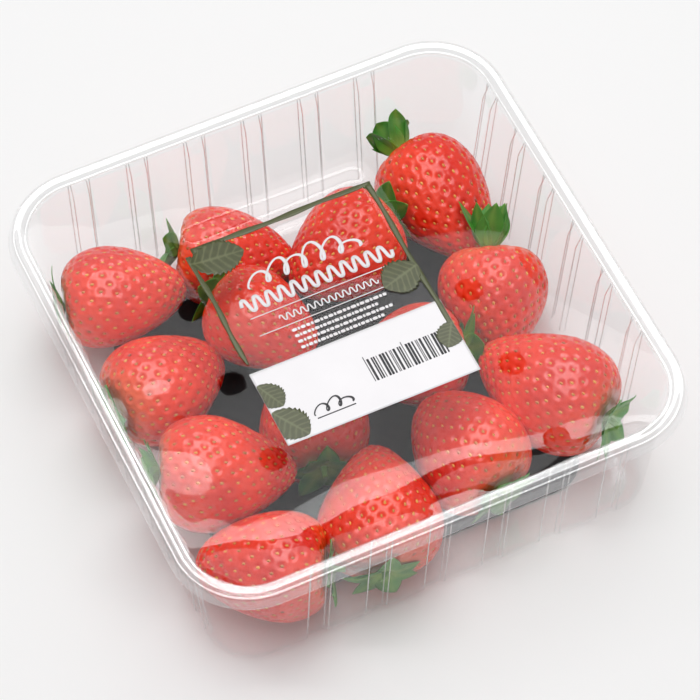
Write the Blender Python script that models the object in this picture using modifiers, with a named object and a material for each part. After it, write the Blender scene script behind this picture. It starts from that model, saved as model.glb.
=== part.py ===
"""Punnet of strawberries: a clear ribbed tray of large berries under a sealed film lid with a label.

Frame: origin at the middle of the base, +X along the front edge to the right, +Y to the back, +Z up.
All lengths are in metres.
"""

import math
from collections import namedtuple

import bmesh
import bpy
from mathutils import Euler, Matrix, Vector

MM = 0.001

# Tray: one thin formed skin with a flat floor, drafted ribbed walls, a flange and a turned-down lip.
TRAY_WIDTH = 174 * MM
TRAY_DEPTH = 174 * MM
TRAY_HEIGHT = 57 * MM
TRAY_CORNER = 26 * MM
TRAY_SKIN = 0.6 * MM
FLANGE_WIDTH = 5 * MM
LIP_HEIGHT = 4 * MM
LIP_FLARE = 0.8 * MM
FLANGE_BEND = 0.8 * MM
WALL_DRAFT = math.radians(4.5)
BASE_FILLET = 6 * MM
RIBS_PER_SIDE = 6
RIB_DEPTH = 1.4 * MM
RIB_FADE = 6 * MM
RIB_PATTERN = ((0.00, 0.0), (0.58, 0.0), (0.68, 1.0), (0.90, 1.0))
CORNER_STEPS = 6
FILLET_STEPS = 3

# Film lid: a clear sheet sealed on the flange, with two columns of round vent holes.
PIECE_GAP = 0.3 * MM
FILM_THICKNESS = 0.3 * MM
FILM_INSET = 0.8 * MM
VENT_RADIUS = 4 * MM
VENT_PITCH = 30.5 * MM
VENT_ROWS = 5
VENT_FRONT = 14 * MM
VENT_COLUMNS = (-44 * MM, 38 * MM)
VENT_STEPS = 18

# Label: a thin clear rectangle stuck on the film, a little left of the middle.
LABEL_WIDTH = 66 * MM
LABEL_LENGTH = 81 * MM
LABEL_THICKNESS = 0.3 * MM
LABEL_X = -5 * MM

# Pad: a thin dark sheet on the tray's floor, under the berries.
PAD_SIDE = 120 * MM
PAD_CORNER = 12 * MM
PAD_THICKNESS = 0.9 * MM

# Berries, in millimetres and degrees: where each lies and how far it is held off the floor by the others,
# its length and width, where its tip points in plan and how far the tip dips.
Berry = namedtuple("Berry", "x y lift length width heading dip")
BERRIES = (
    Berry(-53.5, -55.5, 0, 43.5, 37, 150, 5),
    Berry(-13, -53.5, 0, 43, 40.5, 70, -12),
    Berry(22, -44, 0, 41, 39, 100, -6),
    Berry(54, -37.5, 6, 49, 38.5, 122, 0),
    Berry(-53, -24, 9, 46, 37, -22, 4),
    Berry(-17, -12, 0, 41, 36, 75, 0),
    Berry(20, -8, 7, 38, 34, 170, 0),
    Berry(56.5, 4, 0, 38, 36, -112, 28),
    Berry(-54, 20, 0, 42, 36, 10, 6),
    Berry(-17.5, 24, 8, 39, 33.5, -60, 0),
    Berry(18.5, 40, 4, 42, 37, 200, 0),
    Berry(-54, 55, 5, 42, 34, -14, 0),
    Berry(-14, 56, 0, 41, 34.5, -30, 5),
    Berry(58, 47, 0, 47, 36, -78, 12),
)
BERRY_TAPER = 0.42
BERRY_FULLNESS = 0.12
WIDEST_PART = 0.36
DIP_REACH = 0.8
FLOOR_GAP = PAD_THICKNESS + 2 * PIECE_GAP
BERRY_SIDES = 16
BERRY_RINGS = 11
HEAP_CORE = (128 * MM, 128 * MM, 16 * MM)
HEAP_CORE_Z = 17 * MM
HEAP_VOXEL = 2.4 * MM
HEAP_KEEP = 0.16

COLOURS = {
    "tray": ((0.90, 0.93, 0.93), 0.20, 0.12),
    "film_lid": ((0.95, 0.96, 0.97), 0.15, 0.08),
    "label": ((0.80, 0.30, 0.26), 0.85, 0.30),
    "pad": ((0.03, 0.03, 0.035), 1.0, 0.80),
    "berries": ((0.62, 0.03, 0.02), 1.0, 0.35),
}


def clear_scene():
    """Remove every object so that the script can be run again in one session."""
    for item in list(bpy.data.objects):
        bpy.data.objects.remove(item, do_unlink=True)


def make_material(name):
    """A Principled material from the table of colours: base colour, opacity and roughness."""
    colour, alpha, roughness = COLOURS[name]
    material = bpy.data.materials.new(name)
    material.use_nodes = True
    shader = material.node_tree.nodes["Principled BSDF"]
    shader.inputs["Base Color"].default_value = (*colour, 1.0)
    shader.inputs["Alpha"].default_value = alpha
    shader.inputs["Roughness"].default_value = roughness
    shader.inputs["Metallic"].default_value = 0.0
    return material


def finish(item, name, collection):
    """Name an object, give it its material and put it in the collection."""
    item.name = name
    item.data.name = name
    item.data.materials.clear()
    item.data.materials.append(make_material(name))
    for holder in list(item.users_collection):
        holder.objects.unlink(item)
    collection.objects.link(item)
    return item


def rounded_rectangle(half_x, half_y, radius, side_marks, steps):
    """Points of a rounded rectangle, anticlockwise, with an inward push at each side mark.

    side_marks is a list of (part of the straight side, inward push) for every side; corners are arcs.
    """
    points = []
    for quarter in range(4):
        turn = Matrix.Rotation(math.radians(90 * quarter), 2)
        along, across = (half_y, half_x) if quarter % 2 == 0 else (half_x, half_y)
        straight = 2 * (along - radius)
        for part, push in side_marks:
            points.append(turn @ Vector((across - push, -along + radius + part * straight)))
        for step in range(steps):
            angle = math.radians(90) * step / steps
            corner = Vector((across - radius, along - radius))
            points.append(turn @ (corner + radius * Vector((math.cos(angle), math.sin(angle)))))
    return points


def rib_marks(depth):
    """The ribs of one side: flat panels with narrow inward ribs between them."""
    marks = []
    for rib in range(RIBS_PER_SIDE):
        for part, push in RIB_PATTERN:
            marks.append(((rib + part) / RIBS_PER_SIDE, push * depth))
    return marks


def tray_section(inset, height, rib_depth):
    """One closed section of the tray at a height, set in from the flange's outer edge."""
    outline = rounded_rectangle(
        TRAY_WIDTH / 2 - inset,
        TRAY_DEPTH / 2 - inset,
        TRAY_CORNER - inset,
        rib_marks(rib_depth),
        CORNER_STEPS,
    )
    return [Vector((point.x, point.y, height)) for point in outline]


def tray_profile():
    """(inset, height, rib depth) of each section, from the floor up the wall and out over the lip."""
    wall_top = TRAY_HEIGHT - FLANGE_BEND
    wall_inset = FLANGE_WIDTH + FLANGE_BEND + LIP_FLARE
    run = math.tan(WALL_DRAFT)
    fillet_top = TRAY_SKIN + BASE_FILLET
    foot_inset = wall_inset + run * (wall_top - fillet_top)
    profile = []
    for step in range(FILLET_STEPS + 1):
        angle = math.radians(90) * step / FILLET_STEPS
        inset = foot_inset + BASE_FILLET * (1 - math.sin(angle))
        height = TRAY_SKIN + BASE_FILLET * (1 - math.cos(angle))
        profile.append((inset, height, RIB_DEPTH * step / FILLET_STEPS))
    rib_end = wall_top - RIB_FADE
    profile.append((wall_inset + run * RIB_FADE, rib_end, RIB_DEPTH))
    profile.append((wall_inset, wall_top, 0.0))
    profile.append((wall_inset - FLANGE_BEND, TRAY_HEIGHT, 0.0))
    profile.append((LIP_FLARE + FLANGE_BEND / 2, TRAY_HEIGHT, 0.0))
    profile.append((LIP_FLARE, TRAY_HEIGHT - FLANGE_BEND / 2, 0.0))
    profile.append((0.0, TRAY_HEIGHT - LIP_HEIGHT, 0.0))
    return profile


def make_tray(collection):
    """Loft the tray's inner skin through its sections and thicken it outwards."""
    mesh = bpy.data.meshes.new("tray")
    build = bmesh.new()
    rings = []
    for inset, height, rib_depth in tray_profile():
        rings.append([build.verts.new(point) for point in tray_section(inset, height, rib_depth)])
    build.faces.new(rings[0])
    for lower, upper in zip(rings, rings[1:]):
        count = len(lower)
        for index in range(count):
            after = (index + 1) % count
            build.faces.new((lower[index], upper[index], upper[after], lower[after]))
    build.to_mesh(mesh)
    build.free()
    item = bpy.data.objects.new("tray", mesh)
    skin = item.modifiers.new("skin", "SOLIDIFY")
    skin.thickness = TRAY_SKIN
    skin.offset = -1.0
    skin.use_even_offset = True
    return finish(item, "tray", collection)


def flat_curve(name, outlines, thickness):
    """A flat filled curve from closed outlines; every outline inside the first one is a hole."""
    curve = bpy.data.curves.new(name, "CURVE")
    curve.dimensions = "2D"
    curve.fill_mode = "BOTH"
    curve.extrude = thickness / 2
    for outline in outlines:
        spline = curve.splines.new("POLY")
        spline.points.add(len(outline) - 1)
        for point, place in zip(spline.points, outline):
            point.co = (place.x, place.y, 0.0, 1.0)
        spline.use_cyclic_u = True
    return bpy.data.objects.new(name, curve)


def vent_outline(x, y):
    """A vent hole's round outline."""
    points = []
    for step in range(VENT_STEPS):
        angle = math.tau * step / VENT_STEPS
        points.append(Vector((x + VENT_RADIUS * math.cos(angle), y + VENT_RADIUS * math.sin(angle))))
    return points


def make_film(collection):
    """The film lid over the flange, with its vent holes."""
    half_x = TRAY_WIDTH / 2 - LIP_FLARE - FILM_INSET
    half_y = TRAY_DEPTH / 2 - LIP_FLARE - FILM_INSET
    radius = TRAY_CORNER - LIP_FLARE - FILM_INSET
    outlines = [rounded_rectangle(half_x, half_y, radius, [(0.0, 0.0)], CORNER_STEPS)]
    for x in VENT_COLUMNS:
        for row in range(VENT_ROWS):
            outlines.append(vent_outline(x, -TRAY_DEPTH / 2 + VENT_FRONT + row * VENT_PITCH))
    item = flat_curve("film_lid", outlines, FILM_THICKNESS)
    item.location.z = TRAY_HEIGHT + PIECE_GAP + FILM_THICKNESS / 2
    return finish(item, "film_lid", collection)


def make_label(collection):
    """The label on the film."""
    bpy.ops.mesh.primitive_cube_add(size=1.0)
    item = bpy.context.object
    item.data.transform(Matrix.Diagonal((LABEL_WIDTH, LABEL_LENGTH, LABEL_THICKNESS, 1.0)))
    film_top = TRAY_HEIGHT + PIECE_GAP + FILM_THICKNESS
    item.location = (LABEL_X, 0.0, film_top + PIECE_GAP + LABEL_THICKNESS / 2)
    return finish(item, "label", collection)


def make_pad(collection):
    """The dark pad on the tray's floor."""
    outline = rounded_rectangle(PAD_SIDE / 2, PAD_SIDE / 2, PAD_CORNER, [(0.0, 0.0)], CORNER_STEPS)
    item = flat_curve("pad", [outline], PAD_THICKNESS)
    item.location.z = TRAY_SKIN + PIECE_GAP + PAD_THICKNESS / 2
    return finish(item, "pad", collection)


def berry_matrix(berry):
    """A berry's place: its tip along the heading, dipped, at its lift above the floor."""
    dip = math.radians(berry.dip)
    turn = Euler((0.0, dip, math.radians(berry.heading))).to_matrix().to_4x4()
    half_width = berry.width * MM / 2
    half_length = berry.length * MM / 2
    rest = math.hypot(half_width * math.cos(dip), DIP_REACH * half_length * math.sin(dip))
    height = TRAY_SKIN + FLOOR_GAP + berry.lift * MM + rest
    return Matrix.Translation((berry.x * MM, berry.y * MM, height)) @ turn


def berry_point(direction, berry):
    """A point of a berry, tip along +X, from a direction on the unit sphere.

    The width narrows evenly from the shoulder to the tip, and the widest section is the berry's width.
    The ends are blunter than an ellipsoid's by the fullness.
    """
    along = direction.x
    narrow = 1.0 - BERRY_TAPER * (0.5 + 0.5 * along)
    widest = 1.0 - WIDEST_PART * BERRY_TAPER
    blunt = max(math.hypot(direction.y, direction.z), 1e-6) ** -BERRY_FULLNESS
    half_width = berry.width * MM / 2 * narrow / widest * blunt
    half_length = berry.length * MM / 2
    return Vector((half_length * along, half_width * direction.y, half_width * direction.z))


def make_berries(collection):
    """The heap of berries as one solid: the berries and a low core, fused."""
    mesh = bpy.data.meshes.new("berries")
    build = bmesh.new()
    to_side = Matrix.Rotation(math.radians(90), 4, "Y")
    for berry in BERRIES:
        sphere = bmesh.ops.create_uvsphere(
            build, u_segments=BERRY_SIDES, v_segments=BERRY_RINGS, radius=1.0, matrix=to_side
        )
        place = berry_matrix(berry)
        for vertex in sphere["verts"]:
            vertex.co = place @ berry_point(vertex.co.normalized(), berry)
    core = Matrix.Translation((0.0, 0.0, HEAP_CORE_Z)) @ Matrix.Diagonal((*HEAP_CORE, 1.0))
    bmesh.ops.create_cube(build, size=1.0, matrix=core)
    build.to_mesh(mesh)
    build.free()
    item = bpy.data.objects.new("berries", mesh)
    fuse = item.modifiers.new("fuse", "REMESH")
    fuse.mode = "VOXEL"
    fuse.voxel_size = HEAP_VOXEL
    thin = item.modifiers.new("thin", "DECIMATE")
    thin.ratio = HEAP_KEEP
    finish(item, "berries", collection)
    item.data.shade_smooth()
    return item


def main():
    """Build every piece of the punnet."""
    clear_scene()
    collection = bpy.data.collections.new("punnet_of_strawberries")
    bpy.context.scene.collection.children.link(collection)
    make_tray(collection)
    make_film(collection)
    make_label(collection)
    make_pad(collection)
    make_berries(collection)


if __name__ == "__main__":
    main()
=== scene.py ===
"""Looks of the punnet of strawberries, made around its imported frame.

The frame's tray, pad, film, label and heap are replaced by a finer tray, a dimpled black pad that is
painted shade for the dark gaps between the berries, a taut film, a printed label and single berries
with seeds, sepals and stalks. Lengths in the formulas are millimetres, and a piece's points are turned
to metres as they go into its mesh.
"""

import math

import bpy
import numpy as np
from bpy.props import FloatProperty, FloatVectorProperty, IntProperty, PointerProperty
from mathutils import Matrix, Vector


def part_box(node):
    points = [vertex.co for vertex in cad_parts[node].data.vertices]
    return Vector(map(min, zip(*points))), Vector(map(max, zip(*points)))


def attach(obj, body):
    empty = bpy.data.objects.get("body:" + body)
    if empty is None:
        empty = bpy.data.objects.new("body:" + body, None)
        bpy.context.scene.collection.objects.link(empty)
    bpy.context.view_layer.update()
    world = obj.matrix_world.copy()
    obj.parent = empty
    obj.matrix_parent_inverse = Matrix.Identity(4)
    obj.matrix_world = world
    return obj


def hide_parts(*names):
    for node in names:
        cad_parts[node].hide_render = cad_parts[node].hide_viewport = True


bl_info = {
    "name": "Punnet of Strawberries",
    "version": (1, 0, 0),
    "blender": (4, 5, 0),
    "location": "View3D > Sidebar > Punnet",
    "description": "Makes a clear punnet of strawberries piece by piece",
    "category": "Object",
}

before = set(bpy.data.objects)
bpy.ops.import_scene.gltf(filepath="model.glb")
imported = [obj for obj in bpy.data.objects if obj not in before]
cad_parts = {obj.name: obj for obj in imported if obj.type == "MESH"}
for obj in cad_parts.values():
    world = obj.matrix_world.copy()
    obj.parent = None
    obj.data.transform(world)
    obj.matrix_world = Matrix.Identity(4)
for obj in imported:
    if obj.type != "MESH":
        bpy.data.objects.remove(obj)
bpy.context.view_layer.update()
TRAY_BOX = np.array(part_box("tray")) * 1000
FILM_BOX = np.array(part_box("film_lid")) * 1000
LABEL_BOX = np.array(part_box("label")) * 1000
PAD_BOX = np.array(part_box("pad")) * 1000

# Tray, as the frame has it, and the sheet and folds of its visible surface.
TRAY_HALF = TRAY_BOX[1, 0]
TRAY_TOP = TRAY_BOX[1, 2]
TRAY_CORNER = 26.0
TRAY_SKIN = 0.6
FLANGE_WIDTH = 5.0
FLANGE_BEND = 0.8
LIP_FLARE = 0.8
LIP_HEIGHT = 4.0
WALL_DRAFT = math.radians(4.5)
BASE_FILLET = 6.0
RIBS_PER_SIDE = 6
RIB_DEPTH = 1.4
RIB_FADE = 6.0
RIB_START = 0.58
RIB_END = 0.96
RIB_EDGE = 0.05
WALL_TOP = TRAY_TOP - FLANGE_BEND
WALL_INSET = FLANGE_WIDTH + FLANGE_BEND + LIP_FLARE
LIP_BEND = 1.2
FLANGE_GROOVE = 0.35
FLOOR_RISE = 0.5
TRAY_SHEET = 0.4
CREASE_RADIUS = 0.22

# Pad, as the frame has it, and its dimples: a black sheet under the berries, painted shade for the dark gaps
# between them.
PAD_CORNER = 12.0
DIMPLE_PITCH = 6.0
DIMPLE_DEPTH = 0.12

# Film: vent holes in two columns, as the frame has them.
VENT_RADIUS = 4.0
VENT_PITCH = 30.5
VENT_ROWS = 5
VENT_FRONT = 14.0
VENT_COLUMNS = (-44.0, 38.0)
VENT_BLOCK = 7.0

# Film: how far it lies under the frame's at its seal, its slack waves and its dent.
FILM_DROP = 0.3
WAVE_HEIGHT = 0.22
SLACK_HEIGHT = 0.16
DENT_PLACE = (-66.0, -10.0)
DENT_SPREAD = (13.0, 10.0)
DENT_DEPTH = 0.8
LABEL_DROP = 1.3

# Label: how far its layers stand over each other, and their thickness.
SHEET_LIFT = 0.16
WHITE_LIFT = 0.24
DARK_LIFT = 0.30
LEAF_LIFT = 0.32
UPPER_LEAF_LIFT = 0.34
SHEET_SKIN = 0.06
PRINT_SKIN = 0.04

# Berries, as the frame has them: place, lift off the pad, length, width, heading and dip of the tip.
BERRIES = (
    (-53.5, -55.5, 0, 43.5, 37, 150, 5),
    (-13, -53.5, 0, 43, 40.5, 70, -12),
    (22, -44, 0, 41, 39, 100, -6),
    (54, -37.5, 6, 49, 38.5, 122, 0),
    (-53, -24, 9, 46, 37, -22, 4),
    (-17, -12, 0, 41, 36, 75, 0),
    (20, -8, 7, 38, 34, 170, 0),
    (56.5, 4, 0, 38, 36, -112, 28),
    (-54, 20, 0, 42, 36, 10, 6),
    (-17.5, 24, 8, 39, 33.5, -60, 0),
    (18.5, 40, 4, 42, 37, 200, 0),
    (-54, 55, 5, 42, 34, -14, 0),
    (-14, 56, 0, 41, 34.5, -30, 5),
    (58, 47, 0, 47, 36, -78, 12),
)
# How pointed each berry is: 0 as the frame has it, 1 a blunt cone.
POINTS = (0.2, 1.0, 0.1, 0.7, 1.0, 0.3, 0.3, 0.3, 0.3, 0.2, 0.3, 0.3, 0.4, 0.5)
# How each berry's sepals stand: 0 lies on the shoulder, 1 stands away from the berry.
SEPAL_STAND = (0.1, 0.2, 0.1, 0.3, 0.3, 0.1, 0.2, 0.95, 0.1, 0.1, 0.1, 0.2, 0.3, 0.8)
BERRY_TAPER = 0.42
BERRY_FULLNESS = 0.12
WIDEST_PART = 0.36
DIP_REACH = 0.8
FLOOR_GAP = 1.5  # the pad and the gaps under and over it
GOLDEN_TURN = math.pi * (3.0 - math.sqrt(5.0))
SEED_HALF = (0.70, 0.44, 0.32)
SEED_RISE = 0.22

# Stage, in metres and degrees: the camera looks down on the punnet, the lamps stand opposite it.
CAMERA_AZIMUTH = -25.4
CAMERA_ELEVATION = 56.6
CAMERA_DISTANCE = 1.205
CAMERA_TARGET = (-0.0052, -0.0156)
CAMERA_LENS = 198.411
LAMP_TURN = 25.4
LAMP_DISTANCE = 1.3
LAMP_TARGET = (0.02, 0.02, 0.058)

NO_TRIANGLES = np.zeros((0, 3), int)


def size_setting(name, text, value, low, high):
    """A setting in millimetres, with its limits."""
    return FloatProperty(name=name, description=text, default=value, min=low, max=high)


def count_setting(name, text, value, low, high):
    """A setting that counts, with its limits."""
    return IntProperty(name=name, description=text, default=value, min=low, max=high)


def colour_setting(name, text, value):
    """A setting for a colour in linear light."""
    return FloatVectorProperty(
        name=name, description=text, subtype="COLOR", size=3, default=value, min=0.0, max=1.0)


class PunnetSizes(bpy.types.PropertyGroup):
    """Sizes of the punnet's fine surface, in millimetres and counts."""

    film_rise: size_setting("Film rise", "How far the film's middle stands above its seal", 1.5, 0.0, 4.0)
    film_edge: size_setting("Film edge", "Width over which the film bends down to its seal", 24.0, 4.0, 40.0)
    film_skin: size_setting("Film skin", "Thickness of the film", 0.06, 0.02, 0.3)
    label_lift: size_setting("Label lift", "How far the label stands off the film", 0.08, 0.0, 0.5)
    seed_area: size_setting("Area per seed", "Square millimetres of berry for each seed", 12.6, 6.0, 30.0)
    pit_depth: size_setting("Pit depth", "Depth of the pit round each seed", 0.60, 0.0, 1.5)
    pit_radius: size_setting("Pit radius", "Spread of the pit round each seed", 0.85, 0.3, 2.0)
    rim_height: size_setting("Rim height", "Height of the swelling between the pits", 0.26, 0.0, 0.8)
    sepal_length: size_setting("Sepal length", "Length of a sepal", 13.5, 4.0, 24.0)
    sepal_width: size_setting("Sepal width", "Width of a sepal", 8.6, 2.0, 14.0)
    around: count_setting("Points around", "Points round a berry", 190, 24, 260)
    along: count_setting("Points along", "Points along a berry", 100, 16, 160)


class PunnetColours(bpy.types.PropertyGroup):
    """Colours of the punnet's finishes, in linear light."""

    flesh: colour_setting("Ripe flesh", "Red of the ripe flesh", (0.95, 0.046, 0.010))
    # the deep red is both the colour of the ripest patches and painted shade in the pits round the seeds
    deep_flesh_and_pit_shade: colour_setting("Deep flesh", "Darker red of the ripest patches", (0.76, 0.019, 0.007))
    flesh_light: colour_setting("Light flesh", "Orange red near the shoulder", (0.88, 0.11, 0.015))
    shoulder: colour_setting("Shoulder", "Pale ring under the sepals", (0.80, 0.50, 0.13))
    seed: colour_setting("Seed", "Gold of the seeds", (0.86, 0.42, 0.07))
    seed_deep: colour_setting("Deep seed", "Brown red of the darker seeds", (0.30, 0.05, 0.01))
    leaf: colour_setting("Sepal", "Green of the sepals", (0.07, 0.33, 0.025))
    leaf_light: colour_setting("Sepal base", "Yellow green of a sepal's base and vein", (0.25, 0.42, 0.06))
    clear: colour_setting("Clear plastic", "Tint of the tray and the film", (0.95, 0.96, 0.97))
    # painted shade: the pad's near black makes the gaps between the berries dark as shade
    pad: colour_setting("Pad", "Black of the foam pad", (0.012, 0.013, 0.015))
    print_white: colour_setting("White print", "White of the label's panel and rules", (0.88, 0.86, 0.88))
    print_green: colour_setting("Green print", "Olive of the label's sprigs", (0.075, 0.085, 0.028))
    print_dark: colour_setting("Dark print", "Grey black of the label's bars", (0.03, 0.03, 0.035))


# ---------------------------------------------------------------- meshes


def grid_quads(rows, columns, wrapped=False):
    """Four-sided faces of a grid of points counted row by row; wrapped joins its last column to its first."""
    index = np.arange(rows * columns).reshape(rows, columns)
    if wrapped:
        index = np.hstack([index, index[:, :1]])
    corners = (index[:-1, :-1], index[:-1, 1:], index[1:, 1:], index[1:, :-1])
    return np.stack(corners, axis=-1).reshape(-1, 4)


def tube_faces(rows, columns, turned=False):
    """Faces of a closed tube of rings: wrapped quads, and a fan of triangles to a point before and after.

    They are turned for rings that run the other way round, so that they face outward all the same.
    """
    quads = grid_quads(rows, columns, wrapped=True) + 1
    first = np.arange(columns) + 1
    last = first + (rows - 1) * columns
    start = np.stack([np.zeros(columns, int), np.roll(first, -1), first], axis=-1)
    end = np.stack([np.full(columns, rows * columns + 1), last, np.roll(last, -1)], axis=-1)
    triangles = np.vstack([start, end])
    return (quads[:, ::-1], triangles[:, ::-1]) if turned else (quads, triangles)


def closed_tube(rings):
    """The points of a tube's rings, with the middle of its first ring before and of its last ring after."""
    ends = rings[[0, -1]].mean(axis=1)
    return np.vstack([ends[:1], rings.reshape(-1, 3), ends[1:]])


def put_mesh(name, points, quads, triangles=NO_TRIANGLES, values=None):
    """A mesh object from points in millimetres, quads, triangles and named values for each point."""
    mesh = bpy.data.meshes.new(name)
    mesh.vertices.add(len(points))
    mesh.vertices.foreach_set("co", (np.asarray(points) * 0.001).astype(np.float32).ravel())
    corners = np.concatenate([quads.ravel(), triangles.ravel()]).astype(np.int32)
    sizes = np.concatenate([np.full(len(quads), 4), np.full(len(triangles), 3)])
    starts = np.concatenate([[0], np.cumsum(sizes)[:-1]]).astype(np.int32)
    mesh.loops.add(len(corners))
    mesh.loops.foreach_set("vertex_index", corners)
    mesh.polygons.add(len(sizes))
    mesh.polygons.foreach_set("loop_start", starts)
    mesh.polygons.foreach_set("use_smooth", np.full(len(sizes), True))
    for key, data in (values or {}).items():
        layer = mesh.attributes.new(key, "FLOAT", "POINT")
        layer.data.foreach_set("value", np.asarray(data, np.float32).ravel())
    mesh.update(calc_edges=True)
    mesh.validate()
    item = bpy.data.objects.new(name, mesh)
    bpy.context.scene.collection.objects.link(item)
    return item


def join_parts(parts):
    """Several (points, quads, triangles, values) as one, the points counted on from part to part."""
    points, quads, triangles, values = [], [], [], {}
    count = 0
    for part_points, part_quads, part_triangles, part_values in parts:
        points.append(part_points)
        quads.append(part_quads + count)
        triangles.append(part_triangles + count)
        for key, data in part_values.items():
            values.setdefault(key, []).append(data)
        count += len(part_points)
    joined = {key: np.concatenate(data) for key, data in values.items()}
    return np.vstack(points), np.vstack(quads), np.vstack(triangles), joined


def thicken(item, skin):
    """Give an open sheet its thickness in millimetres, inwards from its points."""
    wall = item.modifiers.new("skin", "SOLIDIFY")
    wall.thickness = skin * 0.001
    wall.offset = -1
    wall.use_even_offset = False
    wall.use_quality_normals = True


def finish_piece(item, material, slot, *nodes):
    """Give a piece its material, put it on the body, and hide the frame's nodes that it replaces. The slot is
    not used.
    """
    item.data.materials.append(material)
    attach(item, "root")
    if nodes:
        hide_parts(*nodes)


# ---------------------------------------------------------------- materials


def new_material(name, values):
    """A material with its Principled shader's inputs set by label. Returns it, its nodes and the shader."""
    material = bpy.data.materials.new(name)
    material.use_nodes = True
    shader = material.node_tree.nodes["Principled BSDF"]
    for label, value in values.items():
        shader.inputs[label].default_value = value
    return material, material.node_tree, shader


def node(tree, kind, **settings):
    """Add a node; settings name its inputs by label, or its own properties in lower case."""
    made = tree.nodes.new(kind)
    for key, value in settings.items():
        if key in made.inputs:
            made.inputs[key].default_value = value
        else:
            setattr(made, key, value)
    return made


def blend_colours(tree, share, first, second):
    """A colour between two, by a share from 0 to 1. Either colour is a socket or three numbers."""
    mixer = node(tree, "ShaderNodeMix", data_type="RGBA")
    sockets = mixer.inputs["Factor"], mixer.inputs[6], mixer.inputs[7]
    for socket, value in zip(sockets, (share, first, second)):
        if isinstance(value, bpy.types.NodeSocket):
            tree.links.new(value, socket)
        elif isinstance(value, (int, float)):
            socket.default_value = value
        else:
            socket.default_value = (*value, 1.0)
    return mixer.outputs[2]


def noise(tree, scale, detail=2.0, roughness=0.5):
    """Soft noise on Object coordinates, scale in lumps for each metre."""
    place = node(tree, "ShaderNodeTexCoord")
    cloud = node(tree, "ShaderNodeTexNoise", Scale=scale, Detail=detail, Roughness=roughness)
    tree.links.new(place.outputs["Object"], cloud.inputs["Vector"])
    return cloud.outputs["Fac"]


def between(tree, value, low, high, start=0.0, end=1.0):
    """A value brought from low..high to start..end and held there."""
    limits = {"From Min": low, "From Max": high, "To Min": start, "To Max": end}
    ramp = node(tree, "ShaderNodeMapRange", **limits)
    tree.links.new(value, ramp.inputs["Value"])
    return ramp.outputs["Result"]


def attribute(tree, name):
    """A point value of the piece's own mesh."""
    reader = node(tree, "ShaderNodeAttribute", attribute_name=name)
    return reader.outputs["Fac"]


def scaled(colour, share):
    """A colour with its parts taken times a share."""
    return tuple(share * part for part in colour)


def bumped(tree, shader, height, strength, distance):
    """Link a height to the shader's normal; distance in metres."""
    bump = node(tree, "ShaderNodeBump", Strength=strength, Distance=distance)
    tree.links.new(height, bump.inputs["Height"])
    tree.links.new(bump.outputs["Normal"], shader.inputs["Normal"])


def flesh_material(colours):
    """Strawberry flesh: red with deeper patches, orange then pale towards the sepals, and painted shade that
    darkens the pits round the seeds.
    """
    material, tree, shader = new_material("berry_flesh", {
        "Subsurface Weight": 0.15, "Subsurface Radius": (1.0, 0.25, 0.15), "Subsurface Scale": 0.002,
        "Coat Weight": 0.4, "Coat Roughness": 0.14})
    patches = between(tree, noise(tree, 55.0, 3.0), 0.42, 0.64)
    red = blend_colours(tree, patches, colours.flesh, colours.deep_flesh_and_pit_shade)
    light = blend_colours(tree, attribute(tree, "young"), red, colours.flesh_light)
    pale = blend_colours(tree, attribute(tree, "pale"), light, colours.shoulder)
    # painted shade: the flesh turns towards the deep red in each seed's pit
    pit = between(tree, attribute(tree, "pit"), 0.0, 1.0, 0.0, 0.55)
    tree.links.new(blend_colours(tree, pit, pale, colours.deep_flesh_and_pit_shade), shader.inputs["Base Color"])
    tree.links.new(between(tree, noise(tree, 140.0, 2.0), 0.2, 0.8, 0.20, 0.36), shader.inputs["Roughness"])
    bumped(tree, shader, noise(tree, 900.0, 2.0), 0.10, 0.0002)
    return material


def seed_material(colours):
    """Seeds: gold to brown red from one to the next."""
    material, tree, shader = new_material("berry_seed", {
        "Roughness": 0.34, "Coat Weight": 0.3, "Coat Roughness": 0.2})
    colour = blend_colours(tree, attribute(tree, "shade"), colours.seed, colours.seed_deep)
    tree.links.new(colour, shader.inputs["Base Color"])
    return material


def leaf_material(colours):
    """Sepals and stalks: green, yellower at the base and along the vein, with soft patches."""
    material, tree, shader = new_material("berry_leaf", {
        "Roughness": 0.45, "Subsurface Weight": 0.1, "Subsurface Radius": (0.4, 1.0, 0.2),
        "Subsurface Scale": 0.001})
    patches = between(tree, noise(tree, 160.0, 3.0), 0.3, 0.7)
    green = blend_colours(tree, patches, colours.leaf, scaled(colours.leaf, 0.55))
    colour = blend_colours(tree, attribute(tree, "vein"), green, colours.leaf_light)
    tree.links.new(colour, shader.inputs["Base Color"])
    bumped(tree, shader, noise(tree, 700.0, 3.0), 0.25, 0.0003)
    return material


def clear_material(name, colours, opacity, metallic, roughness, ripple):
    """Clear plastic: mostly see-through, the rest a faint bright mirror with slightly uneven gloss."""
    material, tree, shader = new_material(name, {
        "Alpha": opacity, "Metallic": metallic, "Roughness": roughness, "IOR": 1.5})
    colour = blend_colours(tree, noise(tree, 30.0, 2.0), colours.clear, scaled(colours.clear, 0.94))
    tree.links.new(colour, shader.inputs["Base Color"])
    bumped(tree, shader, noise(tree, 45.0, 1.0), ripple, 0.002)
    return material


def shade_pad_material(colours):
    """Black pad under the berries, painted shade for the dark gaps between them: matt black with a faint
    mottle and a fine grain.
    """
    material, tree, shader = new_material("black_shade_pad", {"Roughness": 0.75})
    cloud = between(tree, noise(tree, 220.0, 3.0), 0.3, 0.7)
    colour = blend_colours(tree, cloud, colours.pad, scaled(colours.pad, 1.5))
    tree.links.new(colour, shader.inputs["Base Color"])
    bumped(tree, shader, noise(tree, 1200.0, 2.0), 0.2, 0.0003)
    return material


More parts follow.
